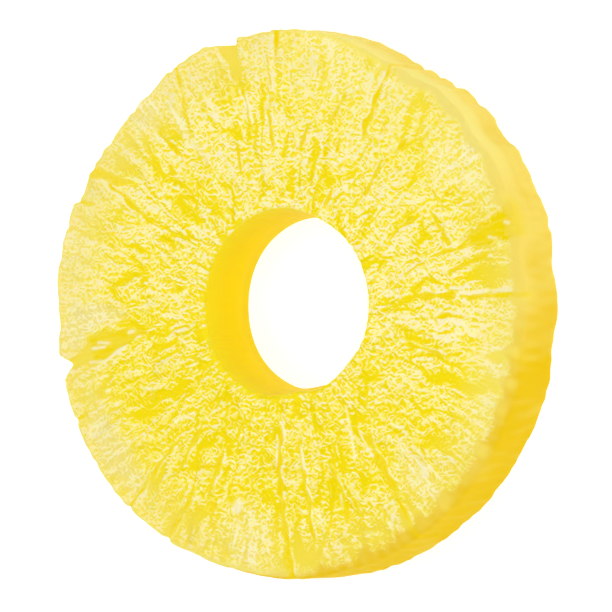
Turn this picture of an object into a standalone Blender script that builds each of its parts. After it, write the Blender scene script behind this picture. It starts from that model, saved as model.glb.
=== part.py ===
"""Pineapple ring: a round slice of the peeled and cored fruit, lying flat.

The slice is one closed solid. Its surface is a grid whose columns stand round the ring and whose
rows run round the section: out over the upper face, down the rim, in under the slice and up the
wall of the core hole. The wedges of flesh between the core and the peel are fruitlets. They stand
out by different amounts at the rim, and seams part them. The origin is at the middle of the
underside, with +Z up through the upper face.
"""

import math

import bmesh
import bpy

# Driving sizes, in metres.
OUTER_RADIUS = 0.0400
THICKNESS = 0.0102
HOLE_RADIUS_TOP = 0.0140
HOLE_RADIUS_BASE = 0.0128

# Roundings of the cut edges, in metres: the height taken at the edge of each face.
RIM_EDGE_TOP = 0.0004
RIM_EDGE_BASE = 0.0004
SOFT_EDGE_EXTRA = 0.0012
SOFT_EDGE_ANGLE = 325.0
HOLE_EDGE = 0.00015

# The upper face dips a little from the hole to the rim, and swells and sinks on the way round.
FACE_DIP = 0.0001
FACE_SWELL = 0.0001

# How far the peeling cut stands out of the mean circle (angle in degrees, metres).
PEEL_CUT = [
    (0, 0.0001),
    (7.5, -0.0004),
    (17, 0.0004),
    (26, 0.0001),
    (33, 0.0003),
    (38, -0.0003),
    (43, 0.0002),
    (50, 0.0001),
    (57, -0.0007),
    (65, -0.0010),
    (71, -0.0006),
    (77, -0.0001),
    (88, 0.0004),
    (101, 0.0003),
    (104, -0.0004),
    (107, 0.0001),
    (112, 0.0007),
    (120, 0.0003),
    (129, -0.0005),
    (146, -0.0005),
    (150, -0.0001),
    (155, -0.0006),
    (158, 0.0001),
    (170, 0.0003),
    (184, -0.0002),
    (190, 0.0003),
    (200, 0.0006),
    (230, 0.0006),
    (259, -0.0001),
    (270, 0.0001),
    (300, 0.0003),
    (315, 0.0004),
    (342, 0.0004),
    (350, -0.0002),
]

# How far the wall of the core hole stands out of its mean circle (angle in degrees, metres).
HOLE_CUT = [
    (0, 0.0001),
    (30, 0.0000),
    (62, -0.0003),
    (100, 0.0002),
    (130, 0.0001),
    (180, -0.0002),
    (220, 0.0000),
    (250, -0.0001),
    (276, -0.0011),
    (296, -0.0004),
    (318, -0.0004),
    (340, 0.0001),
]

# Seams between fruitlets. Each row: angle and width at the rim in degrees, inner and outer end as
# shares of the outer radius, depth in the face and notch in the rim in metres.
SEAMS = [
    (2.3, 2.0, 0.53, 0.90, 0.0005, 0.0),
    (15.5, 3.4, 0.50, 1.00, 0.0008, 0.0002),
    (62.6, 2.0, 0.66, 1.00, 0.0005, 0.0003),
    (94.7, 1.8, 0.56, 1.00, 0.0005, 0.0002),
    (106.0, 4.4, 0.68, 1.00, 0.0010, 0.0001),
    (120.5, 2.2, 0.72, 1.00, 0.0006, 0.0001),
    (151.6, 2.4, 0.59, 0.98, 0.0006, 0.0),
    (157.0, 1.8, 0.86, 1.00, 0.0004, 0.0002),
    (193.4, 5.0, 0.60, 1.00, 0.0012, 0.0010),
    (205.0, 2.0, 0.84, 1.00, 0.0005, 0.0002),
    (227.6, 2.0, 0.65, 1.00, 0.0005, 0.0002),
    (239.0, 2.0, 0.62, 1.00, 0.0005, 0.0001),
    (269.5, 2.0, 0.43, 1.00, 0.0006, 0.0001),
    (277.6, 1.8, 0.48, 0.91, 0.0005, 0.0),
    (304.5, 2.6, 0.58, 0.97, 0.0009, 0.0),
    (336.0, 1.8, 0.72, 0.87, 0.0004, 0.0),
    (347.0, 3.2, 0.50, 0.98, 0.0006, 0.0),
]
BASE_DEPTH_SHARE = 0.55  # the underside's seams against the upper face's

# The grid: the even columns, and how near a seam's own three columns they may come, in degrees.
EVEN_COLUMNS = 190
COLUMN_CLEARANCE = 0.8

# Rows of the grid between the edges, as shares of the way over each surface.
FACE_ROWS = [0.14, 0.30, 0.48, 0.66, 0.82, 0.93]
WALL_ROWS = [0.5]
BASE_ROWS = [0.7, 0.3]
EDGE_STEPS = 2

# The flesh: ripe yellow, wet.
FLESH_COLOUR = (0.94, 0.72, 0.06, 1.0)
FLESH_ROUGHNESS = 0.28


def turn_between(angle, other):
    """The signed turn from one angle to another, in degrees, the short way round."""
    return (other - angle + 180) % 360 - 180


def ease(share):
    """A smooth step from 0 to 1, flat at both ends."""
    share = min(max(share, 0.0), 1.0)
    return share * share * (3 - 2 * share)


def eased(table, angle):
    """The table's value at this angle, eased from each of its rows to the next, all round."""
    following = table[1:] + [(table[0][0] + 360, table[0][1])]
    for (start, low), (end, high) in zip(table, following):
        if start <= angle < end:
            return low + (high - low) * ease((angle - start) / (end - start))
    raise ValueError(f"the table doesn't reach {angle} degrees")


def seam_closeness(angle, seam):
    """1 on the seam's line, falling evenly to 0 at its sides."""
    return max(0.0, 1 - abs(turn_between(seam[0], angle)) / (seam[1] / 2))


def seam_depth(angle, radius):
    """How deep the seams cut at this place, in metres: they taper in from both ends."""
    share = radius / OUTER_RADIUS
    depth = 0.0
    for seam in SEAMS:
        inner, outer, full = seam[2:5]
        start = ease((share - inner) / 0.12)
        end = 1.0 if outer >= 1.0 else ease((outer - share) / 0.06)
        depth = max(depth, full * start * end * seam_closeness(angle, seam))
    return depth


def rim_notch(angle):
    """How far the seams draw the rim in at this angle, in metres."""
    return max(seam[5] * seam_closeness(angle, seam) for seam in SEAMS)


def rim_radius(angle):
    return OUTER_RADIUS + eased(PEEL_CUT, angle) - rim_notch(angle)


def rim_edge(angle):
    """The rounding of the upper rim edge, softest towards SOFT_EDGE_ANGLE."""
    soft = 0.5 + 0.5 * math.cos(math.radians(turn_between(SOFT_EDGE_ANGLE, angle)))
    return RIM_EDGE_TOP + SOFT_EDGE_EXTRA * soft * soft


def face_height(angle, share):
    """Height of the uncut upper face: the full thickness, less a dip to the rim and soft swells."""
    swell = math.cos(math.radians(3 * angle + 40)) * math.cos(math.radians(5 * angle))
    return THICKNESS - FACE_DIP * share**2 - FACE_SWELL * (1 - swell) * share


def quarter(start, end, bend):
    """Points on the quarter ellipse from start to end, whose tangents meet at bend."""
    points = []
    for step in range(EDGE_STEPS + 1):
        turn = math.pi / 2 * step / EDGE_STEPS
        along = 1 - math.cos(turn)
        over = math.sin(turn)
        points.append(
            (
                start[0] + (bend[0] - start[0]) * over + (end[0] - bend[0]) * along,
                start[1] + (bend[1] - start[1]) * over + (end[1] - bend[1]) * along,
            )
        )
    return points


def section(angle):
    """The closed section at this angle, as (radius, height) points from the hole's upper edge on."""
    outer = rim_radius(angle)
    top_edge = rim_edge(angle)
    hole_top = HOLE_RADIUS_TOP + eased(HOLE_CUT, angle)
    hole_base = HOLE_RADIUS_BASE + eased(HOLE_CUT, angle)
    hole_side = hole_top + HOLE_EDGE
    base_hole_side = hole_base + HOLE_EDGE
    rim_side = outer - top_edge
    base_rim_side = outer - RIM_EDGE_BASE

    points = [(hole_top, THICKNESS - HOLE_EDGE), (hole_side, THICKNESS)]
    for share in FACE_ROWS:
        radius = hole_side + (rim_side - hole_side) * share
        points.append((radius, face_height(angle, share) - seam_depth(angle, radius)))
    rim_top = face_height(angle, 1.0) - seam_depth(angle, rim_side)
    points += quarter((rim_side, rim_top), (outer, rim_top - top_edge), (outer, rim_top))
    for share in WALL_ROWS:
        points.append((outer, RIM_EDGE_BASE + (rim_top - top_edge - RIM_EDGE_BASE) * share))
    base_rise = BASE_DEPTH_SHARE * seam_depth(angle, base_rim_side)
    points += quarter(
        (outer, base_rise + RIM_EDGE_BASE), (base_rim_side, base_rise), (outer, base_rise)
    )
    for share in BASE_ROWS:
        radius = base_hole_side + (base_rim_side - base_hole_side) * share
        points.append((radius, BASE_DEPTH_SHARE * seam_depth(angle, radius)))
    points += [(base_hole_side, 0.0), (hole_base, HOLE_EDGE)]
    return points


def columns():
    """The columns' angles: three on each seam, and even ones wherever no seam is near."""
    on_seams = []
    for angle, width, *_ in SEAMS:
        on_seams += [angle - width / 2, angle, angle + width / 2]
    angles = [angle % 360 for angle in on_seams]
    for step in range(EVEN_COLUMNS):
        angle = 360 * step / EVEN_COLUMNS
        if all(abs(turn_between(angle, other)) > COLUMN_CLEARANCE for other in on_seams):
            angles.append(angle)
    return sorted(angles)


def ring_mesh():
    """The slice's closed mesh, moved so that the middle of its outline is over the origin."""
    mesh = bmesh.new()
    grid = []
    for angle in columns():
        across = math.cos(math.radians(angle))
        along = math.sin(math.radians(angle))
        grid.append([mesh.verts.new((r * across, r * along, z)) for r, z in section(angle)])
    rows = len(grid[0])
    for column, following in zip(grid, grid[1:] + grid[:1]):
        for row in range(rows):
            onward = (row + 1) % rows
            mesh.faces.new(
                (column[row], column[onward], following[onward], following[row])
            )
    for axis in (0, 1):
        places = [vertex.co[axis] for vertex in mesh.verts]
        middle = (min(places) + max(places)) / 2
        for vertex in mesh.verts:
            vertex.co[axis] -= middle
    return mesh


def flesh_material():
    material = bpy.data.materials.new("pineapple_flesh")
    material.use_nodes = True
    surface = material.node_tree.nodes["Principled BSDF"]
    surface.inputs["Base Color"].default_value = FLESH_COLOUR
    surface.inputs["Roughness"].default_value = FLESH_ROUGHNESS
    surface.inputs["Metallic"].default_value = 0.0
    return material


def pineapple_ring():
    """The whole slice: one object of one piece."""
    mesh = ring_mesh()
    data = bpy.data.meshes.new("pineapple_ring")
    mesh.to_mesh(data)
    mesh.free()
    data.materials.append(flesh_material())
    data.shade_smooth()
    ring = bpy.data.objects.new("pineapple_ring", data)
    bpy.context.scene.collection.objects.link(ring)
    return ring


for leftover in list(bpy.data.objects):
    bpy.data.objects.remove(leftover)
pineapple_ring()
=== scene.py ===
"""A ring of ripe pineapple, wet and glistening, lying flat on a pale table in soft studio light.

The script runs from top to bottom. It first shapes the slice, from the plain cut form to the
wrinkles of its flesh, then colours it, and then sets the table, the lights and the camera.
"""

import math

import bpy
import numpy as np
from mathutils import Matrix, Vector


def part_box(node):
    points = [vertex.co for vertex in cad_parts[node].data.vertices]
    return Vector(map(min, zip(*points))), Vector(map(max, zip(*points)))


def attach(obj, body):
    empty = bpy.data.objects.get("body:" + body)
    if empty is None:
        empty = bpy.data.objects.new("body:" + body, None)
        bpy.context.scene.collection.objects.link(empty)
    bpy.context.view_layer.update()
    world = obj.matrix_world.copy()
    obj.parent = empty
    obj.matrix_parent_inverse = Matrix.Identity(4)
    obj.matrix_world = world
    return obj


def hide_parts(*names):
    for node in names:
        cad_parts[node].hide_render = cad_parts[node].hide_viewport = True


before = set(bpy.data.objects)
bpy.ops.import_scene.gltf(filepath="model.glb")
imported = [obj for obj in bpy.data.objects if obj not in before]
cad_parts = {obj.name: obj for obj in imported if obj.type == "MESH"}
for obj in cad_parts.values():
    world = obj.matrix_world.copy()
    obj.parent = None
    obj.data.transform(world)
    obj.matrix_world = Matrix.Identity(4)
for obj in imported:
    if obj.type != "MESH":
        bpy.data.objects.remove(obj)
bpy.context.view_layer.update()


# THE CUT SLICE
# A cross slice of a peeled pineapple, with the woody core punched out. The peeling knife leaves
# an uneven round outline, and the corer a hole that narrows a little towards the underside.

slice_low, slice_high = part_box("pineapple_ring")
thickness = slice_high.z - slice_low.z
outer_radius = 0.0400
hole_radius_top = 0.0140
hole_radius_base = 0.0128
rim_edge_top = 0.0004
rim_edge_base = 0.0004
soft_edge_extra = 0.0012
soft_edge_angle = 325.0
hole_edge = 0.0002
face_dip = 0.0001
face_swell = 0.0001

# How far the knife stood out of the mean circle, as (angle in degrees, metres).
peel_cut = [
    (0, 0.0001), (7.5, -0.0004), (17, 0.0004), (26, 0.0001), (33, 0.0003), (38, -0.0003),
    (43, 0.0002), (50, 0.0001), (57, -0.0007), (65, -0.0010), (71, -0.0006), (77, -0.0001),
    (88, 0.0004), (102.7, 0.0003), (103.5, -0.0005), (107, 0.0001), (112, 0.0007), (120, 0.0003),
    (129, -0.0005), (146, -0.0005), (150, -0.0001), (155, -0.0006), (158, 0.0003), (170, 0.0005),
    (184, 0.0000), (190, 0.0005), (200, 0.0008), (230, 0.0007), (259, -0.0001), (270, 0.0001),
    (300, 0.0003), (315, 0.0004), (342, 0.0004), (350, -0.0002),
]
# How far the corer's wall stood out of its mean circle, in the same way.
hole_cut = [
    (0, 0.0001), (30, 0.0000), (62, -0.0003), (100, 0.0002), (130, 0.0001), (180, -0.0002),
    (220, 0.0000), (250, -0.0001), (276, -0.0011), (296, -0.0004), (318, -0.0004), (340, 0.0001),
]
# Sharp nicks in the outline: angle and half width in degrees, depth in metres.
rim_nicks = [
    (193.2, 2.5, 0.0019), (156.9, 1.0, 0.0005), (205.0, 1.0, 0.0004), (62.6, 1.2, 0.0004),
    (120.4, 1.0, 0.0004), (227.6, 0.9, 0.0003), (239.0, 0.9, 0.0003),
    (16.5, 1.6, 0.0002), (94.9, 0.8, 0.0003), (149.0, 1.4, 0.0003), (215.0, 1.4, 0.0002),
    (133.0, 1.2, 0.0003), (163.0, 1.0, 0.0003),
]
# Shallower ones, only in the lower half of the side.
base_nicks = [
    (31.5, 2.0, 0.0003), (41.0, 1.4, 0.0003), (47.5, 1.6, 0.0004),
    (54.0, 1.4, 0.0003), (58.5, 1.2, 0.0003), (342.0, 2.0, 0.0002),
]

# The grid: places round the ring, and rows on each stretch of the section.
around = 900
face_rows = 81
hole_edge_rows = 3
rim_edge_rows = 5
wall_rows = 9
base_edge_rows = 2
base_rows = 6
core_wall_rows = 3


def ease(share):
    """A smooth step: 0 below 0, 1 above 1, and 3 s^2 - 2 s^3 between."""
    share = np.clip(share, 0.0, 1.0)
    return share * share * (3 - 2 * share)


def eased(table, degrees):
    """The table's value at each angle, eased from each of its rows to the next, all round."""
    starts, values = np.array(table, float).T
    starts = np.append(starts, starts[0] + 360)
    values = np.append(values, values[0])
    row = np.searchsorted(starts, degrees % 360, side="right") - 1
    share = (degrees % 360 - starts[row]) / (starts[row + 1] - starts[row])
    return values[row] + (values[row + 1] - values[row]) * ease(share)


def turn_between(angle, other):
    """The signed turn from one angle to another in degrees, the short way round."""
    return (other - angle + 180) % 360 - 180


def steps(count, first=False, last=False):
    """Evenly spaced shares from 0 to 1 as a column, with or without the two ends."""
    shares = np.linspace(0, 1, count + 2 - first - last)
    return shares[0 if first else 1 : None if last else -1][:, None]


def plane_waves(x, y, length, spread, count, seed):
    """Many waves of about one length running all ways: the sum of cos(k.p + start), as k turns.

    Lengths are in mm and the sum has unit variance. It winds about like the creases of wet skin.
    """
    draws = np.random.default_rng(seed)
    total = np.zeros(x.shape)
    for _ in range(count):
        turn, start = draws.uniform(0, 2 * math.pi, 2)
        across = 2 * math.pi / (length * (1 + spread * draws.uniform(-1, 1)))
        total += np.cos(across * (x * math.cos(turn) + y * math.sin(turn)) + start)
    return total * math.sqrt(2 / count)


def fan_waves(turns, along, fewest, most, shortest, count, seed):
    """Waves that fan out from the core: the sum of cos(m turn + k along + start).

    m is a whole number of waves round the ring, from fewest to most, and k is up to
    2 pi / shortest either way, so the crests run mostly outwards. The sum has unit variance.
    """
    draws = np.random.default_rng(seed)
    total = np.zeros(np.broadcast(turns, along).shape)
    for _ in range(count):
        m = draws.integers(fewest, most)
        k = 2 * math.pi / shortest * draws.uniform(-1, 1)
        total += np.cos(m * turns + k * along + draws.uniform(0, 2 * math.pi))
    return total * math.sqrt(2 / count)


degrees = np.arange(around) * 360.0 / around
turns = np.radians(degrees)
rim = outer_radius + eased(peel_cut, degrees)
for angle, half_width, depth in rim_nicks:
    away = np.abs(turn_between(angle, degrees)) / half_width
    rim = rim - depth * np.clip(1 - np.sqrt(away**2 + 0.002), 0, None)
drawn_in = 0 * turns
for angle, half_width, depth in base_nicks:
    away = np.abs(turn_between(angle, degrees)) / half_width
    drawn_in = drawn_in + depth * np.clip(1 - np.sqrt(away**2 + 0.02), 0, None)
rim = rim + 0.00003 * fan_waves(turns, 0 * turns, 40, 120, 1, 24, 1)
hole_top = hole_radius_top + eased(hole_cut, degrees)
hole_top = hole_top + 0.00003 * fan_waves(turns, 0 * turns, 20, 80, 1, 24, 2)
hole_base = hole_radius_base + eased(hole_cut, degrees)
soft = (0.5 + 0.5 * np.cos(np.radians(degrees - soft_edge_angle))) ** 2
top_edge = rim_edge_top + soft_edge_extra * soft
hole_side = hole_top + hole_edge
rim_side = rim - top_edge


def face_height(share):
    """Height of the upper face: full thickness, less a dip to the rim and soft swells round it."""
    swell = np.cos(3 * turns + math.radians(40)) * np.cos(5 * turns)
    return thickness - face_dip * share**2 - face_swell * (1 - swell) * share


# The section, stretch by stretch: each gives a radius and a height for every angle.
quarter = np.pi / 2 * steps(hole_edge_rows, first=True)
edge_height = thickness - hole_edge * (1 - np.sin(quarter)) + 0 * turns
stretches = [(hole_side - hole_edge * np.cos(quarter), edge_height)]
share = steps(face_rows, first=True, last=True)
share = share * (0.80 + 0.20 * share)
stretches.append((hole_side + (rim_side - hole_side) * share, face_height(share)))
quarter = np.pi / 2 * steps(rim_edge_rows)
rim_top = face_height(1.0)
edge_height = rim_top - top_edge * (1 - np.cos(quarter))
stretches.append((rim_side + top_edge * np.sin(quarter), edge_height))
share = steps(wall_rows, first=True, last=True)
wall_top = rim_top - top_edge
stretches.append((rim + 0 * share, wall_top + (rim_edge_base - wall_top) * share))
quarter = np.pi / 2 * steps(base_edge_rows)
edge_height = rim_edge_base * (1 - np.sin(quarter)) + 0 * turns
stretches.append((rim - rim_edge_base * (1 - np.cos(quarter)), edge_height))
share = steps(base_rows, first=True, last=True)
base_outer = rim - rim_edge_base
base_inner = hole_base + hole_edge
stretches.append((base_outer + (base_inner - base_outer) * share, 0 * share + 0 * turns))
share = steps(core_wall_rows, first=True)
core_height = hole_edge + (thickness - 2 * hole_edge) * share + 0 * turns
stretches.append((hole_base + (hole_top - hole_base) * share, core_height))
radius = np.concatenate([stretch[0] for stretch in stretches])
height = np.concatenate([stretch[1] for stretch in stretches])
low_down = ease((0.75 - height / thickness) / 0.6)
radius = radius - drawn_in * low_down * ease((radius - rim + 0.004) / 0.004)
form = np.stack([radius * np.cos(turns), radius * np.sin(turns), height], axis=-1)


def surface_normals(points):
    """Unit normals of a grid closed both ways: the cross product of its two directions."""
    round_ring = np.roll(points, -1, axis=1) - np.roll(points, 1, axis=1)
    round_section = np.roll(points, -1, axis=0) - np.roll(points, 1, axis=0)
    normals = np.cross(round_section, round_ring)
    return normals / np.linalg.norm(normals, axis=-1, keepdims=True)


outward = surface_normals(form)
rise = outward[..., 2]
on_face = ease((rise - 0.55) / 0.4)
on_base = ease((-rise - 0.55) / 0.4)
in_core = ease((0.0175 - radius) / 0.001) * (1 - on_base)
out = radius / outer_radius
out_share = np.clip((radius - hole_radius_top) / (outer_radius - hole_radius_top), 0, 1)
below = (thickness - height) / thickness

# The wrinkles of the wet skin, worked out over places in mm.
x = form[..., 0] * 1000
y = form[..., 1] * 1000
z = form[..., 2] * 1000
mean_radius = 27.0
log_stretch = 20.8
valley_rounding = 0.02
long_weight = 1.2
short_weight = 0.8


def gradient_noise(places, seed):
    """Smooth noise round 0, about 0.14 either way.

    Each corner of the unit grid has a slope of its own, and a place blends the rises of its eight
    corners with the weights 6 t^5 - 15 t^4 + 10 t^3.
    """
    draws = np.random.default_rng(seed)
    slopes = draws.normal(size=(256, 3))
    slopes = slopes / np.linalg.norm(slopes, axis=-1, keepdims=True)
    order = draws.permutation(256)
    corner = np.floor(places).astype(int)
    part = places - corner
    blend = part**3 * (part * (part * 6 - 15) + 10)
    total = np.zeros(places.shape[:-1])
    for step in np.ndindex(2, 2, 2):
        at = (corner + step) & 255
        pick = order[(order[(order[at[..., 0]] + at[..., 1]) & 255] + at[..., 2]) & 255]
        rise = (slopes[pick] * (part - step)).sum(axis=-1)
        total += rise * np.prod(np.where(step, blend, 1 - blend), axis=-1)
    return 0.7 * total


def noise_vector(places, seed):
    """Three of these noises side by side."""
    return np.stack([gradient_noise(places, seed + step) for step in range(3)], axis=-1)


def fanned(x, y, z):
    """Places on the fan of the flesh: round the ring at its mean radius, and log of the radius."""
    reach = np.hypot(x, y)
    outwards = log_stretch * np.log(reach / mean_radius) - z
    return np.stack([mean_radius * x / reach, mean_radius * y / reach, outwards], axis=-1)


def furrows_at(x, y, z):
    """Two fields whose lines of zero are the valleys of the skin: long furrows, then shorter ones.

    Each is a noise on the fan, stretched outwards, at places that slow noises move about.
    """
    drift = 1.6 * noise_vector(0.35 * np.stack([x, y, z], axis=-1), 10)
    fan = fanned(x + drift[..., 0], y + drift[..., 1], z + drift[..., 2])
    long_way = 0.26 * fan * (1, 1, 0.4)
    long_way = long_way + 1.2 * noise_vector(long_way + 9.5, 20)
    long_furrows = (gradient_noise(long_way, 30) + 0.5 * gradient_noise(2 * long_way, 31)) / 1.5
    short_way = 0.5 * fan * (1, 1, 0.6)
    short_way = short_way + 1.0 * noise_vector(short_way + 5.5, 40)
    return long_furrows, gradient_noise(short_way, 50)


def softened(wave):
    """The size of a wave, with its sharp valleys rounded."""
    return np.sqrt(wave**2 + valley_rounding**2)


# The seams and splits between the fruitlets, clockwise from the hollow. Each row: angle and share
# of the radius at the outer end, the same at the inner end, width at each end, depth and soft side
# widths, all in mm, and how golden its floor is. The depths are less than the CAD model's.
seams = [
    (18.0, 1.03, 16.0, 0.77, 5.6, 1.2, 0.26, 1.0, 3.4, 1.00),
    (16.2, 0.81, 15.2, 0.61, 0.7, 0.5, 0.12, 0.4, 0.5, 1.00),
    (15.2, 0.62, 11.4, 0.50, 0.4, 0.3, 0.08, 0.4, 0.4, 1.00),
    (2.7, 0.73, 2.9, 0.53, 1.0, 0.8, 0.10, 0.6, 0.5, 1.00),
    (2.0, 0.99, 2.0, 0.72, 0.8, 0.8, 0.10, 0.4, 0.3, 1.00),
    (356.8, 0.76, 356.0, 0.62, 0.7, 0.5, 0.10, 0.5, 0.5, 1.00),
    (348.6, 1.00, 347.4, 0.83, 2.6, 0.8, 0.10, 1.6, 1.6, 0.35),
    (345.0, 0.72, 344.0, 0.48, 0.5, 0.3, 0.08, 0.5, 0.5, 1.00),
    (336.0, 0.87, 335.5, 0.72, 0.4, 0.3, 0.08, 0.5, 0.5, 1.00),
    (322.0, 0.96, 322.5, 0.88, 0.4, 0.3, 0.06, 0.5, 0.5, 1.00),
    (304.6, 0.83, 306.0, 0.56, 1.4, 0.9, 0.16, 0.7, 0.8, 1.00),
    (303.4, 0.97, 304.6, 0.80, 0.6, 1.1, 0.15, 0.5, 0.6, 1.00),
    (293.0, 0.90, 292.0, 0.74, 0.3, 0.4, 0.08, 0.6, 0.6, 1.00),
    (289.4, 0.78, 288.0, 0.58, 0.4, 0.4, 0.09, 0.6, 0.6, 1.00),
    (277.9, 0.92, 277.0, 0.48, 0.5, 0.4, 0.09, 0.5, 0.5, 1.00),
    (271.4, 1.00, 268.4, 0.70, 1.3, 0.8, 0.13, 0.8, 0.7, 1.00),
    (268.4, 0.72, 266.3, 0.42, 0.8, 0.6, 0.13, 0.5, 0.4, 1.00),
    (245.0, 0.78, 243.0, 0.56, 0.6, 0.5, 0.10, 0.6, 0.6, 1.00),
    (239.4, 1.00, 240.0, 0.78, 0.5, 0.4, 0.09, 0.5, 0.5, 1.00),
    (233.4, 0.80, 231.0, 0.56, 0.4, 0.6, 0.09, 0.6, 0.6, 1.00),
    (227.7, 1.00, 226.8, 0.65, 0.4, 0.4, 0.09, 0.5, 0.5, 1.00),
    (205.0, 1.00, 204.0, 0.88, 0.5, 0.3, 0.09, 0.5, 0.5, 1.00),
    (193.7, 1.00, 190.6, 0.79, 0.6, 5.4, 0.24, 1.2, 0.35, 0.60),
    (191.4, 0.89, 188.0, 0.59, 5.0, 0.5, 0.24, 1.2, 0.35, 0.90),
    (156.9, 1.00, 156.2, 0.90, 0.5, 0.3, 0.09, 0.5, 0.5, 1.00),
    (149.9, 1.00, 146.2, 0.78, 2.0, 0.6, 0.08, 1.2, 1.2, 0.80),
    (148.8, 0.99, 152.9, 0.59, 0.6, 0.5, 0.11, 0.8, 0.5, 1.00),
    (131.5, 0.87, 129.4, 0.69, 0.6, 0.9, 0.09, 0.6, 0.6, 1.00),
    (119.0, 1.00, 121.4, 0.82, 0.6, 0.5, 0.12, 0.7, 0.5, 1.00),
    (105.6, 1.00, 103.8, 0.81, 3.4, 0.6, 0.20, 0.3, 1.2, 0.50),
    (104.2, 0.88, 102.4, 0.66, 0.8, 0.3, 0.10, 0.4, 0.5, 1.00),
    (96.3, 0.73, 95.5, 0.56, 0.5, 0.5, 0.09, 0.4, 0.4, 1.00),
    (95.8, 0.93, 94.5, 0.77, 0.3, 0.4, 0.08, 0.4, 0.4, 1.00),
    (94.7, 0.79, 96.4, 0.71, 0.4, 0.4, 0.08, 0.4, 0.4, 1.00),
    (92.7, 0.99, 93.4, 0.88, 0.8, 0.5, 0.08, 0.4, 0.4, 1.00),
    (88.9, 0.87, 88.3, 0.75, 0.3, 0.3, 0.07, 0.5, 0.5, 1.00),
    (63.4, 0.99, 62.6, 0.66, 0.4, 0.4, 0.10, 0.4, 0.3, 1.00),
    (62.9, 0.82, 62.3, 0.66, 0.7, 0.8, 0.10, 0.5, 0.5, 1.00),
    (61.6, 0.97, 61.2, 0.80, 0.2, 0.2, 0.08, 0.3, 0.4, 1.00),
    (49.5, 0.81, 50.0, 0.69, 0.5, 0.5, 0.08, 0.6, 0.6, 1.00),
]
bend = 0.13 * plane_waves(x, y, 4.0, 0.4, 16, 21)


def seam_shape(seam):
    """One seam as depth in metres, how far a place lies in it (0 to 1), and the glint on its lip.

    It is a valley with soft sides round a winding line, and it tapers to its inner end. The glint
    is a narrow bell along the side where the angle is greater, which is painted paler into the colour
    as a highlight.
    """
    outer_turn, outer_end, inner_turn, inner_end, outer_width, inner_width = seam[:6]
    depth, low, high, _ = seam[6:]
    way_in = np.clip((outer_end - out) / (outer_end - inner_end), 0, 1)
    centre = outer_turn + turn_between(outer_turn, inner_turn) * way_in
    half = (outer_width + (inner_width - outer_width) * way_in) / 2
    winding = np.clip(0.6 / (half + 0.1), 0, 1) * ease((1 - out) / 0.06)
    swing = 0.08 * np.sin(way_in * 9 + outer_turn) + 0.05 * np.sin(way_in * 23 + outer_turn)
    across = np.radians(turn_between(centre, degrees)) * radius * 1000 + winding * (swing + bend)
    half = half * (1 + 0.4 * winding * np.sin(out * 61 + outer_turn))
    sides = ease((half + low / 2 + across) / low) * ease((half + high / 2 - across) / high)
    taper = ease((out - inner_end) / 0.06)
    if outer_end < 0.97:
        taper = taper * ease((outer_end - out) / 0.04)
    glint = np.exp(-(((across - half - 0.22) / 0.16) ** 2)) * taper
    broken = ease(1.2 + np.sin(out * 47 + outer_turn) + 0.6 * np.sin(out * 113 + outer_turn))
    return 0.001 * depth * sides * taper, sides * np.sqrt(taper), glint * broken


cut = np.zeros(radius.shape)
calm = np.zeros(radius.shape)
glint = np.zeros(radius.shape)
golden = np.zeros(radius.shape)
for seam in seams:
    depth, inside, lip = seam_shape(seam)
    golden = np.maximum(golden, inside * seam[9])
    cut = np.maximum(cut, depth)
    calm = np.maximum(calm, inside)
    glint = np.maximum(glint, lip)

# Short folds and pits of the skin: angle and share of the radius at both ends, then half the width
# and the depth, in mm.
folds = [
    (69.0, 0.60, 69.2, 0.64, 0.35, 0.10), (65.5, 0.40, 65.0, 0.46, 0.25, 0.09),
    (135.0, 0.69, 134.6, 0.72, 0.40, 0.10), (231.7, 0.59, 231.2, 0.62, 0.40, 0.10),
    (98.5, 0.69, 98.2, 0.72, 0.30, 0.09), (318.0, 0.77, 317.4, 0.80, 0.30, 0.08),
    (211.0, 0.65, 210.2, 0.68, 0.35, 0.08), (286.0, 0.69, 285.6, 0.72, 0.30, 0.08),
    (350.0, 0.58, 349.4, 0.63, 0.25, 0.08), (30.0, 0.58, 29.6, 0.62, 0.25, 0.08),
    (28.0, 0.70, 17.5, 0.72, 0.25, 0.09), (33.5, 0.74, 27.0, 0.75, 0.15, 0.06),
    (238.0, 0.70, 244.0, 0.66, 0.25, 0.08), (82.0, 0.66, 84.0, 0.58, 0.20, 0.07),
    (110.0, 0.62, 112.0, 0.52, 0.20, 0.07), (72.0, 0.80, 74.5, 0.68, 0.20, 0.07),
    (52.0, 0.66, 50.0, 0.52, 0.20, 0.07), (12.0, 0.86, 9.5, 0.70, 0.25, 0.08),
]


def away_from(first_turn, first_end, last_turn, last_end):
    """Distance in mm from the straight stroke between two places: |p - its nearest point|."""
    ends = []
    for angle, share in ((first_turn, first_end), (last_turn, last_end)):
        reach = 1000 * share * outer_radius
        ends.append((reach * math.cos(math.radians(angle)), reach * math.sin(math.radians(angle))))
    (first_x, first_y), (last_x, last_y) = ends
    run_x, run_y = last_x - first_x, last_y - first_y
    along = np.clip(((x - first_x) * run_x + (y - first_y) * run_y) / (run_x**2 + run_y**2), 0, 1)
    return np.hypot(x - first_x - along * run_x, y - first_y - along * run_y)


for *ends, half_width, depth in folds:
    inside = ease(1.5 - (away_from(*ends) + 0.5 * bend) / half_width)
    cut = np.maximum(cut, 0.001 * depth * inside)
    calm = np.maximum(calm, inside)
    golden = np.maximum(golden, inside)
golden = (golden + 0.001) / (calm + 0.001)
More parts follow.
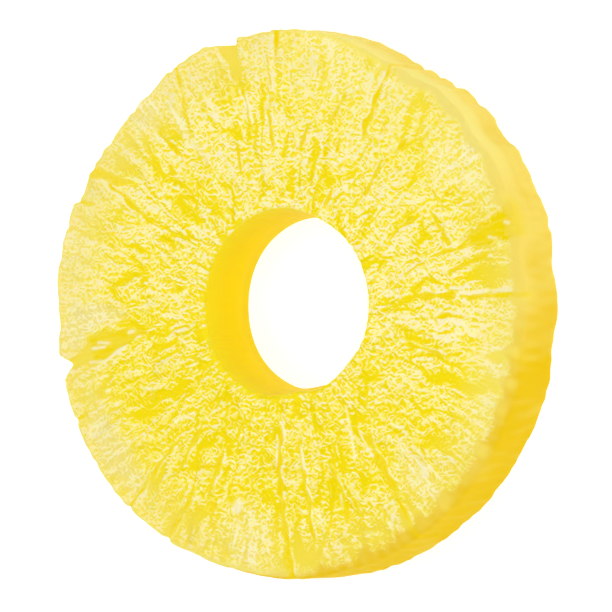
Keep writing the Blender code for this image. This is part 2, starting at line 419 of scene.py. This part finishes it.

# Fine ridges that catch the light, their glint painted into the colour: angle and share of the
# radius at both ends, half width in mm.
ridges = [
    (189.5, 0.834, 190.2, 0.788, 0.26), (190.7, 0.861, 191.0, 0.808, 0.24),
    (188.3, 0.690, 188.2, 0.672, 0.36), (193.8, 0.883, 194.7, 0.820, 0.24),
    (194.7, 0.820, 193.5, 0.767, 0.24), (193.5, 0.767, 192.4, 0.716, 0.24),
    (15.8, 0.884, 14.9, 0.914, 0.24), (17.8, 0.962, 17.2, 0.980, 0.24),
    (3.1, 0.735, 2.9, 0.796, 0.22), (2.9, 0.796, 3.2, 0.857, 0.22),
    (3.2, 0.857, 3.0, 0.945, 0.22), (304.8, 0.449, 300.2, 0.558, 0.24),
    (300.2, 0.558, 297.6, 0.636, 0.24), (303.9, 0.571, 303.8, 0.658, 0.24),
    (277.2, 0.521, 277.6, 0.604, 0.24), (266.0, 0.510, 266.1, 0.592, 0.24),
    (267.6, 0.402, 269.2, 0.468, 0.24), (288.6, 0.733, 288.0, 0.782, 0.24),
    (279.6, 0.772, 281.3, 0.801, 0.24), (94.2, 0.860, 94.4, 0.792, 0.24),
    (102.9, 0.792, 102.4, 0.690, 0.24), (114.1, 0.834, 113.9, 0.740, 0.24),
    (283.0, 0.905, 290.0, 0.930, 0.24), (292.0, 0.900, 296.5, 0.925, 0.26),
    (286.5, 0.870, 288.5, 0.840, 0.24), (299.0, 0.915, 301.0, 0.890, 0.24),
    (225.0, 0.560, 222.0, 0.640, 0.24),
]
ridge_glint = np.zeros(radius.shape)
for *ends, half_width in ridges:
    ridge_glint = np.maximum(ridge_glint, np.exp(-(((away_from(*ends) + 0.3 * bend) / half_width) ** 2)))
golden = golden * (1 - ridge_glint)
cut = cut * (1 - 0.5 * ridge_glint) * (ease((0.45 - below) / 0.45) + 0.5 * on_base)

# The relief in metres, and a shade that each place has of its own.
gleam_step = 0.17
long_furrows, short_furrows = furrows_at(x, y, z)
long_beyond, short_beyond = furrows_at(x, y + gleam_step, z)
rough_side = 0.6 + 0.4 * ease(0.55 - 0.9 * np.cos(np.radians(degrees - 35)))
long_furrows, long_beyond = long_furrows * rough_side, long_beyond * rough_side
tops = long_weight * softened(long_furrows) + short_weight * softened(short_furrows)
swells = plane_waves(x, y, 6.5, 0.3, 20, 6)
lined = gradient_noise(0.17 * fanned(x, y, z) + 4.3, 62)
fan_here = 0.33 * fanned(x, y, z)
patches = (gradient_noise(fan_here, 60) + 0.5 * gradient_noise(2 * fan_here, 61)) / 1.5
near_bottom = ease(0.2 + 0.9 * np.cos(np.radians(degrees - 262)))
near_left = ease(0.9 * np.cos(np.radians(degrees - 185)))
near_top = ease(0.9 * np.cos(np.radians(degrees - 95)))
lined = ease((lined + 0.01 + 0.04 * near_bottom) / 0.08)
shade = 0.28 + 0.2 * patches * rough_side + 0.03 * near_top - 0.01 * near_bottom
shade = shade - (0.20 * near_bottom + 0.08 * near_left + 0.03) * ease((1.08 - out) / 0.25)
# Places of a deeper gold, or a paler one: angle, share of the radius, half widths, strength.
deep_patches = [
    (10.5, 0.90, 5, 0.12, 0.28), (22, 0.85, 4, 0.08, 0.29), (108, 0.85, 6, 0.09, 0.32),
    (130, 0.60, 8, 0.09, 0.20), (160, 0.85, 6, 0.08, 0.11), (170, 0.94, 8, 0.06, 0.16),
    (240, 0.90, 6, 0.06, 0.27), (276, 0.93, 6, 0.06, 0.30), (291, 0.93, 9, 0.10, 0.26),
    (300, 0.70, 6, 0.08, 0.05), (322, 0.97, 14, 0.05, 0.25), (351, 0.70, 5, 0.09, -0.85),
    (350, 0.82, 5, 0.06, -0.08), (124, 0.76, 2, 0.12, -0.10), (190, 0.50, 9, 0.07, -0.22),
    (250, 0.60, 8, 0.08, -0.11), (254.6, 0.77, 1.6, 0.03, -1.00), (312, 0.82, 5, 0.10, -0.06),
]
for angle, place_out, half_turn, half_out, strength in deep_patches:
    away = np.hypot(turn_between(angle, degrees) / half_turn, (out - place_out) / half_out)
    shade = shade - strength * ease(1.4 - away)

# A few eyes of the fruit show as small rings: angle, share of the radius, half widths in mm.
ringlets = [
    (30.6, 0.81, 1.6, 1.9), (254.6, 0.77, 1.3, 1.3),
    (291.0, 0.66, 1.3, 1.0), (212.0, 0.80, 1.4, 1.1),
]
for angle, place_out, half_round, half_out in ringlets:
    round_ring = np.radians(turn_between(angle, degrees)) * radius * 1000 / half_round
    away = np.hypot(round_ring, (out - place_out) * 40 / half_out) + 0.25 * bend
    shade = shade + 0.16 * np.cos(7.5 * away) * ease(1.6 - away)

flatness = 1 - 0.8 * calm
relief = 0.0004 * (tops - 0.42) + 0.00003 * (swells - 2.5)
relief = np.minimum(relief, 0.0) * flatness * (on_face + 0.6 * on_base) - cut
ribs = fan_waves(turns, 0 * turns, 50, 160, 1, 24, 8)
lumps = gradient_noise(np.stack([0.22 * x, 0.22 * y, 0.13 * z + 2.7], axis=-1), 63)
lumps = lumps + 0.5 * gradient_noise(np.stack([0.6 * x, 0.6 * y, 0.25 * z + 1.3], axis=-1), 64)
on_rim = (1 - on_face) * (1 - on_base) * (1 - in_core)
relief = relief + 0.0007 * np.minimum(lumps - 0.10, 0.0) * on_rim
relief = relief + 0.000005 * ribs * (1 - on_face) * (1 - on_base) * (1 - 0.8 * in_core)
points = form + outward * relief[..., None]
middle = (points[..., :2].min(axis=(0, 1)) + points[..., :2].max(axis=(0, 1))) / 2
points[..., :2] -= middle


def grid_faces(rows, columns):
    """The quads of a grid closed both ways, wound so that they face outwards."""
    index = np.arange(rows * columns).reshape(rows, columns)
    below = np.roll(index, -1, axis=0)
    corners = [index, below, np.roll(below, -1, axis=1), np.roll(index, -1, axis=1)]
    return np.stack(corners, axis=-1).reshape(-1, 4)


faces = grid_faces(*radius.shape)
mesh = bpy.data.meshes.new("pineapple_flesh")
mesh.from_pydata(points.reshape(-1, 3), [], faces)
mesh.shade_smooth()

# The skin unrolled: two bands, each of half the ring, one above the other. Along a band goes the
# turn, and across it the section, with the most room for the upper face.
rows, columns = radius.shape
row_lengths = np.linalg.norm(np.roll(points, -1, axis=0) - points, axis=-1).mean(axis=1)
room = np.where(on_face.mean(axis=1) > 0.5, 1.0, np.where(on_base.mean(axis=1) > 0.5, 0.4, 0.7))
across = np.concatenate([[0], np.cumsum(row_lengths * room)])
across = 0.004 + 0.492 * across / across[-1]
column = np.arange(columns)
half_ring = columns // 2
start = 0.004 + 0.992 * (column % half_ring) / half_ring
end = start + 0.992 / half_ring
band = 0.5 * (column // half_ring)
unrolled = np.empty((rows, columns, 4, 2))
for corner, (u, v) in enumerate(((start, 0), (start, 1), (end, 1), (end, 0))):
    unrolled[:, :, corner, 0] = u
    unrolled[:, :, corner, 1] = band + across[v : v + rows, None]
layer = mesh.uv_layers.new(name="OFBake")
layer.uv.foreach_set("vector", unrolled.astype(np.float32).ravel())

# Pale, more see-through patches: angle, share of the radius, half widths in degrees and shares.
pale_patches = [
    (38, 0.84, 6, 0.10, 0.8), (35, 0.93, 5, 0.06, 0.9), (124.6, 0.83, 1.8, 0.11, 1.0),
    (123.2, 0.68, 1.4, 0.08, 0.9), (131, 0.94, 5, 0.07, 1.0), (82.6, 0.96, 5, 0.05, 0.6),
    (182.5, 0.84, 3.5, 0.14, 1.0), (186, 0.93, 6, 0.06, 0.8),
    (170, 0.95, 9, 0.10, 0.4), (259, 0.86, 8, 0.13, 0.7),
    (254.6, 0.77, 2.2, 0.035, 1.0), (312, 0.82, 5, 0.13, 1.0), (347, 0.92, 5, 0.09, 0.6),
    (335, 0.94, 10, 0.08, 0.4), (215, 0.93, 14, 0.08, 0.7), (75, 0.85, 7, 0.1, 0.4),
]
pale = 0.4 * ease((out_share - 0.6) / 0.4) * (1 - 0.6 * near_bottom)
milky = np.zeros(radius.shape)
for angle, place_out, half_turn, half_out, strength in pale_patches:
    away = np.hypot(turn_between(angle, degrees) / half_turn, (out - place_out) / half_out)
    milky = np.maximum(milky, strength * ease(1.35 - away + 0.8 * bend))
pale = np.maximum(pale, milky)
pale = pale * on_face * (1 - calm)
milky = milky * on_face * (1 - calm)

# Towards the soft edge the skin turns smooth, and its colour passes into the rim's.
near_right = ease(0.35 + 0.9 * np.cos(np.radians(degrees - 350)))
blend = 0.0003 + 0.0014 * near_right + 0.0004 * bend * near_right
wobble = 0.0006 * np.clip(0.3 + fan_waves(turns, 0 * turns, 5, 70, 1, 24, 33), 0, 2.2) * near_right
into_rim = ease((radius + wobble - (rim_side - blend)) / (blend + top_edge)) * (below < 0.5)
lip = (0.3 + 500 * wobble) * ease(1 - below / 0.16)
lip = lip * ease(0.3 + 0.9 * np.cos(np.radians(degrees - 20)))
into_core = ease(1 - (radius - hole_side) / 0.0016)
into_core = into_core * (0.15 + 0.85 * ease(0.45 + 0.9 * np.cos(np.radians(degrees - 215))))
upper_right = ease(6 * np.cos(np.radians(degrees - 60)) - 4.6)
cream_share = 0.25 * ease((out - 0.75) / 0.2) + pale * (0.25 + 0.5 * near_left)
cream_share = cream_share * (1 - 0.6 * upper_right)
# The upper right of the rim turns creamy: partly cream flesh, partly painted light.
creamy_and_lit = upper_right * ease((0.75 - below) / 0.55) * (1 - on_base) * (1 - calm)
rim_gold = 0.5 * calm * golden * ease((0.45 - below) / 0.35)

# How lively the skin's own light and shade is: more so in one crinkled place, less where it is
# smoother, paler, or near the upper right and left edges.
crinkled = ease(1.4 - np.hypot(turn_between(292, degrees) / 10, (out - 0.90) / 0.09))
smoother = ease(1.4 - np.hypot(turn_between(343, degrees) / 14, (out - 0.90) / 0.14))
edge_calm = (0.2 * upper_right + 0.12 * near_left) * ease((out - 0.55) / 0.2)
lively = 1 + 0.3 * crinkled - 0.35 * smoother - 0.12 * pale - edge_calm
lively = lively * (on_face + on_base) * (1 - into_rim)
bumpy = lively + 0.35 * on_rim + 0.10 * in_core * (1 - on_face)
turned = 0.1 + 0.45 * soft
skin = ease((rise - turned) / 0.4) * (1 - 0.9 * into_rim * near_right) * (1 - 0.7 * into_core)
skin = np.maximum(skin, on_base)
fibrous = ease((out_share - 0.5) / 0.35) * on_face

# How pale the rim is, partly the flesh's own paleness and partly painted light: palest at the upper
# right and towards its top, with a painted shade of a crease there, and uneven streaks.
rim_pale_and_lit = np.maximum(ease((np.cos(np.radians(degrees - 52)) - 0.35) / 0.6), 0.5 * near_left)
# Painted light on the top of the rim on the camera's side.
top_light = 0.25 * ease(1 - below / 0.2) * ease(np.cos(turns) + 0.2)
rim_pale_and_lit = rim_pale_and_lit * (1 + 0.7 * ease(1 - below / 0.5)) + top_light
# A painted shade of a crease: a darker band across the rim at the upper right.
crease_shade = np.exp(-(((below - 0.55 - 0.06 * np.sin(5 * turns + 1)) / 0.10) ** 2))
rim_pale_and_lit = rim_pale_and_lit - 0.35 * crease_shade * ease(6 * np.cos(np.radians(degrees - 44)) - 5)
rim_pale_and_lit = rim_pale_and_lit + 0.09 * fan_waves(turns, height * 1000, 8, 30, 12.0, 16, 31)
rim_pale_and_lit = rim_pale_and_lit + 0.07 * fan_waves(turns, height * 1000, 60, 160, 9.0, 24, 32)
rim_pale_and_lit = np.clip(rim_pale_and_lit, 0, 1)

# Coordinates that follow the fibres, in mm: round the ring, and outwards as the log of the radius.
fibre_stretch = 7.0
grain = np.stack(
    [
        mean_radius * np.cos(turns) + 0 * height,
        mean_radius * np.sin(turns) + 0 * height,
        (mean_radius * np.log(radius * 1000 / mean_radius) - height * 1000) / fibre_stretch,
    ],
    axis=-1,
)
for name, values in (
    ("long_furrows", long_furrows), ("long_beyond", long_beyond),
    ("short_furrows", short_furrows), ("short_beyond", short_beyond),
    ("shade", shade), ("calm", calm), ("glint", glint), ("pale", pale), ("lively", lively),
    ("in_core", in_core), ("on_face", skin), ("below", below), ("rim_pale_and_lit", rim_pale_and_lit),
    ("fibrous", fibrous), ("cream_share", cream_share), ("lip", lip), ("golden", golden),
    ("lined", lined), ("bumpy", bumpy), ("milky", milky), ("ridge_glint", ridge_glint * on_face),
    ("creamy_and_lit", creamy_and_lit), ("rim_gold", rim_gold),
):
    layer = mesh.attributes.new(name, "FLOAT", "POINT")
    spread = np.broadcast_to(values, radius.shape).astype(np.float32)
    layer.data.foreach_set("value", spread.ravel())
layer = mesh.attributes.new("grain", "FLOAT_VECTOR", "POINT")
layer.data.foreach_set("vector", grain.astype(np.float32).ravel())
flesh = bpy.data.objects.new("pineapple_flesh", mesh)
bpy.context.scene.collection.objects.link(flesh)
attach(flesh, "root")
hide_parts("pineapple_ring")

material = bpy.data.materials.new("pineapple_flesh")
material.use_nodes = True
nodes = material.node_tree.nodes
links = material.node_tree.links
surface = nodes["Principled BSDF"]


def attribute(name, output="Fac"):
    """The value that the mesh carries under this name."""
    node = nodes.new("ShaderNodeAttribute")
    node.attribute_name = name
    return node.outputs[output]


def maths(operation, *values, clamp=False):
    """One sum of numbers or sockets."""
    node = nodes.new("ShaderNodeMath")
    node.operation = operation
    node.use_clamp = clamp
    for socket, value in zip(node.inputs, values):
        if isinstance(value, bpy.types.NodeSocket):
            links.new(value, socket)
        else:
            socket.default_value = value
    return node.outputs[0]


def noise(place, scale, detail=0.0, distortion=0.0, output="Fac"):
    """Perlin noise round 0.5 at this scale, in features per mm."""
    node = nodes.new("ShaderNodeTexNoise")
    links.new(place, node.inputs["Vector"])
    node.inputs["Scale"].default_value = scale
    node.inputs["Detail"].default_value = detail
    node.inputs["Distortion"].default_value = distortion
    return node.outputs[output]


def vector_maths(operation, first, second):
    """One sum of vectors, the second of them a socket or three numbers."""
    node = nodes.new("ShaderNodeVectorMath")
    node.operation = operation
    links.new(first, node.inputs[0])
    if isinstance(second, bpy.types.NodeSocket):
        links.new(second, node.inputs[1])
    else:
        node.inputs[1].default_value = second
    return node.outputs[0]


def between(value, low, high, to_low=0.0, to_high=1.0):
    """A smooth step of the value from low to high, as to_low to to_high."""
    node = nodes.new("ShaderNodeMapRange")
    node.interpolation_type = "SMOOTHSTEP"
    links.new(value, node.inputs["Value"])
    ends = (("From Min", low), ("From Max", high), ("To Min", to_low), ("To Max", to_high))
    for name, number in ends:
        node.inputs[name].default_value = number
    return node.outputs["Result"]


def weighed(start, *parts):
    """The start plus the sum of each part's weight times its value."""
    total = start
    for weight, value in parts:
        total = maths("ADD", total, maths("MULTIPLY", value, weight))
    return total


def mixed(share, first, second):
    """The first colour, turning into the second as the share goes from 0 to 1."""
    node = nodes.new("ShaderNodeMix")
    node.data_type = "RGBA"
    for socket, value in ((node.inputs[0], share), (node.inputs[6], first), (node.inputs[7], second)):
        if isinstance(value, bpy.types.NodeSocket):
            links.new(value, socket)
        else:
            socket.default_value = value if isinstance(value, float) else (*value, 1)
    return node.outputs[2]


def ramp(value, stops):
    """A colour that goes through the stops, each a place from 0 to 1 and a colour."""
    node = nodes.new("ShaderNodeValToRGB")
    links.new(value, node.inputs["Fac"])
    while len(node.color_ramp.elements) < len(stops):
        node.color_ramp.elements.new(0.5)
    for element, (position, colour) in zip(node.color_ramp.elements, stops):
        element.position = position
        element.color = (*colour, 1)
    return node.outputs["Color"]


def valley(wave):
    """The size of a wave round 0, with its sharp valleys rounded."""
    return maths("SQRT", maths("ADD", maths("MULTIPLY", wave, wave), valley_rounding**2))


def moved(place, scale, amount):
    """The place, moved about by a slow noise of this scale."""
    drift = vector_maths("SUBTRACT", noise(place, scale, output="Color"), (0.5, 0.5, 0.5))
    return vector_maths("ADD", place, vector_maths("MULTIPLY", drift, (amount, amount, amount)))


def skin_height(place, long_furrows, short_furrows):
    """Height of the skin: its furrows, small creases between them, and the finest curls.

    The curls are the sine of a noise, so that they wind about in bands less than a mm apart.
    """
    crease_place = vector_maths("ADD", moved(place, 0.35, 1.6), (3.0, 3.0, 3.0))
    creases = noise(crease_place, 0.9, distortion=0.3)
    band_place = vector_maths("ADD", moved(place, 0.8, 0.8), (7.0, 3.0, 3.0))
    bands = noise(band_place, 1.15, 0.5)
    curls = maths("SINE", maths("MULTIPLY", bands, 2.6 * 2 * math.pi))
    height = weighed(
        0.0, (long_weight, valley(attribute(long_furrows))),
        (short_weight, valley(attribute(short_furrows))),
        (0.7, valley(maths("SUBTRACT", creases, 0.5))), (0.05, curls),
    )
    return height, curls


in_mm = nodes.new("ShaderNodeMapping")
in_mm.inputs["Scale"].default_value = (1000, 1000, 1000)
links.new(nodes.new("ShaderNodeTexCoord").outputs["Object"], in_mm.inputs["Vector"])
here = in_mm.outputs["Vector"]

# How light each place of the skin looks, 0 to 1: its own shade, the golden lines at the bottom of
# the furrows, a painted gleam on the curls, and painted light and shade of its relief as if lit from
# the slice's own +Y side. Both are painted in, so they stay with the slice when the slice or the
# light is turned.
skin_here, curls = skin_height(here, "long_furrows", "short_furrows")
beyond = vector_maths("ADD", here, (0.0, gleam_step, 0.0))
skin_beyond, _ = skin_height(beyond, "long_beyond", "short_beyond")
furrow_line = between(maths("ABSOLUTE", attribute("long_furrows")), 0.010, 0.055, 1.0, 0.0)
fibres = maths("SUBTRACT", noise(attribute("grain", "Vector"), 2.2, 1.0), 0.5)
gleam = weighed(0.0, (3.6, skin_here), (-3.6, skin_beyond), (0.25, curls))
gleam = maths("MULTIPLY", gleam, weighed(1.0, (-0.05, attribute("fibrous"))))
fibre_gleam = maths("MULTIPLY", fibres, weighed(0.3, (1.05, attribute("fibrous"))))
skin_tone = weighed(
    0.25, (1.0, attribute("shade")), (0.5, skin_here), (1.0, gleam), (1.0, fibre_gleam),
    (-0.12, furrow_line), (-0.55, maths("MULTIPLY", furrow_line, attribute("lined"))),
)
ragged = weighed(0.0, (0.18, curls), (1.2, maths("SUBTRACT", skin_here, 0.4)))
ragged_calm = between(weighed(attribute("calm"), (1.0, ragged)), 0.2, 0.75)
alive = maths("MULTIPLY", attribute("lively"), maths("SUBTRACT", 1.0, ragged_calm))
usual_tone = 0.5
tone = maths("MULTIPLY", maths("SUBTRACT", between(skin_tone, 0.0, 1.1), usual_tone), alive)
# The glint on the seams' lips is a painted highlight.
tone = weighed(usual_tone, (1.0, tone), (0.7, maths("MULTIPLY", attribute("glint"), alive)))
specks = between(noise(here, 1.7), 0.63, 0.72)
# The glint along the ridges is a painted highlight.
tone = weighed(
    tone, (0.6, maths("MULTIPLY", specks, attribute("milky"))), (0.10, attribute("pale")),
    (0.8, attribute("ridge_glint")),
)

face_colour = ramp(
    tone,
    [
        (0.07, (0.908, 0.710, 0.001)), (0.30, (0.942, 0.776, 0.052)),
        (0.65, (0.972, 0.834, 0.218)), (1.00, (0.995, 0.885, 0.550)),
    ],
)
cream = (0.860, 0.735, 0.250)
milk = (0.985, 0.920, 0.620)
gold = (0.91, 0.69, 0.001)
amber = (0.835, 0.550, 0.004)
pale_amber = (0.895, 0.690, 0.125)
lip_colour = (0.950, 0.780, 0.150)
creamy_lit_rim = (0.905, 0.760, 0.200)
core_gold = (0.945, 0.700, 0.001)
core_lip = (0.950, 0.760, 0.010)
face_colour = mixed(attribute("cream_share"), face_colour, cream)
streaks = between(weighed(0.0, (0.6, fibres), (0.08, curls)), -0.04, 0.15, 0.0, 0.75)
face_colour = mixed(maths("MULTIPLY", attribute("milky"), streaks), face_colour, milk)
gold_share = maths("MULTIPLY", ragged_calm, attribute("golden"))
gold_share = maths("MULTIPLY", gold_share, weighed(0.95, (0.9, fibres)))
face_colour = mixed(maths("MINIMUM", gold_share, 1.0), face_colour, gold)
# The rim goes from amber to pale amber with its paleness, partly its own and partly painted light and
# shade.
rim_colour = mixed(attribute("rim_pale_and_lit"), amber, pale_amber)
rim_colour = mixed(maths("MULTIPLY", attribute("lip"), 0.8), rim_colour, lip_colour)
rim_colour = mixed(attribute("creamy_and_lit"), rim_colour, creamy_lit_rim)
rim_colour = mixed(attribute("rim_gold"), rim_colour, gold)
# The wall of the hole is paler near its top and a deeper gold further down: painted shade deepening
# into the hole.
core_colour = mixed(between(attribute("below"), 0.05, 0.45), core_lip, core_gold)
side_colour = mixed(attribute("in_core"), rim_colour, core_colour)
ragged_skin = weighed(attribute("on_face"), (0.5, maths("SUBTRACT", tone, usual_tone)))
flesh_colour = mixed(between(ragged_skin, 0.25, 0.75), side_colour, face_colour)
links.new(flesh_colour, surface.inputs["Base Color"])

bump = nodes.new("ShaderNodeBump")
bump.inputs["Distance"].default_value = 0.00010
links.new(skin_here, bump.inputs["Height"])
bumpiness = maths("MULTIPLY", attribute("bumpy"), maths("SUBTRACT", 1.0, ragged_calm))
links.new(bumpiness, bump.inputs["Strength"])
links.new(bump.outputs["Normal"], surface.inputs["Normal"])
roughness = weighed(
    0.80, (-0.58, attribute("on_face")), (-0.18, attribute("in_core")), (0.15, ragged_calm),
)
links.new(roughness, surface.inputs["Roughness"])
surface.inputs["Specular IOR Level"].default_value = 0.18
surface.inputs["Specular Tint"].default_value = (1.0, 0.85, 0.02, 1)
surface.inputs["Subsurface Weight"].default_value = 0.25
surface.inputs["Subsurface Radius"].default_value = (1.0, 0.5, 0.05)
surface.inputs["Subsurface Scale"].default_value = 0.0015
mesh.materials.append(material)


# THE TABLE
# A wide plain top, matt, that lies under the slice. It glows a little of its own, which keeps it
# almost white all over. Seen from below, it is clear.

table_mesh = bpy.data.meshes.new("table_top")
table_gap = 0.0001
reach = 3.0
table_corners = [(-reach, -reach, 0), (reach, -reach, 0), (reach, reach, 0), (-reach, reach, 0)]
table_mesh.from_pydata(table_corners, [], [(0, 1, 2, 3)])
table = bpy.data.objects.new("table_top", table_mesh)
table.location.z = slice_low.z - table_gap
bpy.context.scene.collection.objects.link(table)
table_paint = bpy.data.materials.new("table_paint")
table_paint.use_nodes = True
paint = table_paint.node_tree.nodes["Principled BSDF"]
paint.inputs["Base Color"].default_value = (0.5, 0.5, 0.5, 1)
paint.inputs["Roughness"].default_value = 0.9
paint.inputs["Specular IOR Level"].default_value = 0.1
paint.inputs["Emission Color"].default_value = (1, 1, 1, 1)
paint.inputs["Emission Strength"].default_value = 0.72
paint_nodes = table_paint.node_tree.nodes
paint_links = table_paint.node_tree.links
clear = paint_nodes.new("ShaderNodeMixShader")
paint_links.new(paint_nodes.new("ShaderNodeNewGeometry").outputs["Backfacing"], clear.inputs[0])
paint_links.new(paint.outputs[0], clear.inputs[1])
paint_links.new(paint_nodes.new("ShaderNodeBsdfTransparent").outputs[0], clear.inputs[2])
paint_links.new(clear.outputs[0], paint_nodes["Material Output"].inputs["Surface"])
table_mesh.materials.append(table_paint)


# THE LIGHT AND THE CAMERA
# One large soft box stands beyond the slice and high above it, three smaller ones stand round the
# camera's side, and the pale room does the rest. The camera looks down on the cut face.

world = bpy.data.worlds.new("pale_room")
world.use_nodes = True
bpy.context.scene.world = world
room = world.node_tree.nodes
background = room["Background"]
coordinates = room.new("ShaderNodeTexCoord")
split = room.new("ShaderNodeSeparateXYZ")
fade = room.new("ShaderNodeMapRange")
fade.inputs["From Min"].default_value = 0.0
fade.inputs["From Max"].default_value = 0.7
fade.inputs["To Min"].default_value = 0.90
fade.inputs["To Max"].default_value = 0.33
world.node_tree.links.new(coordinates.outputs["Generated"], split.inputs["Vector"])
world.node_tree.links.new(split.outputs["Z"], fade.inputs["Value"])
world.node_tree.links.new(fade.outputs["Result"], background.inputs["Strength"])
background.inputs["Color"].default_value = (1, 1, 1, 1)

camera_tilt = math.radians(31.53)
camera_turn = math.radians(-1.27)
camera_distance = 1.0
aim_right = 0.00301
aim_up = -0.00018
face_centre = Vector((-middle[0], -middle[1], slice_high.z))
toward = Vector((math.cos(camera_turn), math.sin(camera_turn), 0))
level = Vector((-math.sin(camera_turn), math.cos(camera_turn), 0))
back = math.sin(camera_tilt) * toward + math.cos(camera_tilt) * Vector((0, 0, 1))
slope = math.cos(camera_tilt) * toward - math.sin(camera_tilt) * Vector((0, 0, 1))
right = math.cos(camera_turn) * slope - math.sin(camera_turn) * level
up = math.sin(camera_turn) * slope + math.cos(camera_turn) * level


def facing(x_axis, y_axis, z_axis, place):
    """The matrix of an object at this place with these three axes."""
    turned = Matrix((x_axis, y_axis, z_axis)).transposed().to_4x4()
    turned.translation = place
    return turned


camera_data = bpy.data.cameras.new("camera")
camera_data.sensor_width = 36
camera_data.lens = 402.8
camera = bpy.data.objects.new("camera", camera_data)
bpy.context.scene.collection.objects.link(camera)
aim = face_centre + aim_right * right + aim_up * up
camera.matrix_world = facing(right, up, back, aim + camera_distance * back)
bpy.context.scene.camera = camera

# Soft boxes, as (name, turn, height above the horizon, distance, radius, brightness). The main one
# stands where the flat face mirrors the camera.
soft_boxes = [
    ("main_box", 180 - 1.27, 90 - 31.53, 0.60, 0.15, 4.4),
    ("left_box", 60, 45, 0.60, 0.13, 3.5),
    ("right_box", 292, 42, 0.60, 0.13, 3.5),
    ("near_box", 0, 50, 0.60, 0.13, 3.4),
]
for name, turn, lift, distance, size, brightness in soft_boxes:
    turn, lift = math.radians(turn), math.radians(lift)
    flat = math.cos(lift)
    away = Vector((math.cos(turn) * flat, math.sin(turn) * flat, math.sin(lift)))
    side = Vector((-math.sin(turn), math.cos(turn), 0))
    box_data = bpy.data.lights.new(name, "AREA")
    box_data.shape = "DISK"
    box_data.size = 2 * size
    box_data.energy = brightness * math.pi * math.pi * size**2
    box = bpy.data.objects.new(name, box_data)
    bpy.context.scene.collection.objects.link(box)
    box.matrix_world = facing(side, away.cross(side), away, face_centre + distance * away)

bpy.context.scene.view_settings.view_transform = "Standard"
